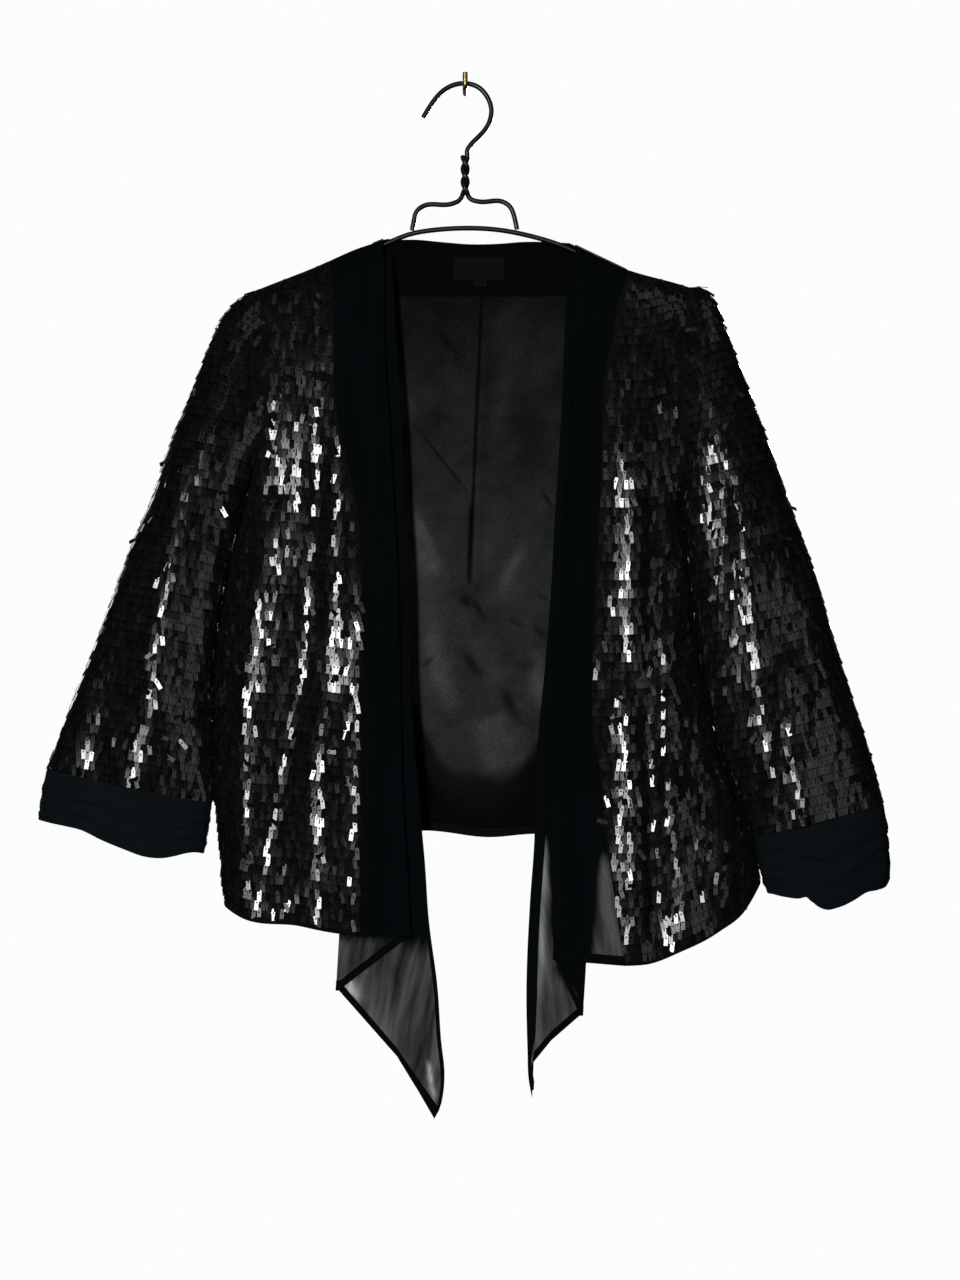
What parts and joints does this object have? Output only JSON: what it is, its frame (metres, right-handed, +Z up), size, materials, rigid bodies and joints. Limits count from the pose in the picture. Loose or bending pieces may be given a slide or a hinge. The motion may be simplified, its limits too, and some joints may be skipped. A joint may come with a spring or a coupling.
{
  "type": "sequinned open-front jacket on a wire hanger and wall hook",
  "caption": "Open-front sequinned evening jacket with chiffon waterfall fronts and gathered cuffs, hung on a twisted wire hanger from a brass wall hook.",
  "frame": {"origin": "middle of the wall end of the brass hook's shank, where it leaves the wall", "axes": "+Z up, +Y into the wall behind the jacket, +X to the right of someone facing the jacket"},
  "size_m": [0.7554, 0.0662, 0.9235],
  "materials": {
    "brass": "worn",
    "lacquered_wire": "satin black lacquer",
    "sequinned_cloth": "satin sequins on dark cloth",
    "chiffon": "sheer crepe chiffon",
    "binding": "matte",
    "satin": "satin",
    "facing_cloth": "matte",
    "label_cloth": "woven satin"
  },
  "bodies": {
    "root": {"wall_hook": "brass", "hanger_hook_wire": "lacquered_wire", "hanger_second_wire": "lacquered_wire", "hanger_shoulder_bar": "lacquered_wire", "front_left": "sequinned_cloth", "front_right": "sequinned_cloth", "back": "sequinned_cloth", "sleeve_left": "sequinned_cloth", "sleeve_right": "sequinned_cloth", "cuff_left": "chiffon", "cuff_right": "chiffon", "waterfall_left": "chiffon", "waterfall_right": "chiffon", "hem_binding_left": "binding", "hem_binding_right": "binding", "hem_binding_back": "binding", "back_lining": "satin", "neck_facing": "facing_cloth", "label": "label_cloth", "size_tab": "label_cloth"}
  },
  "joints": []
}
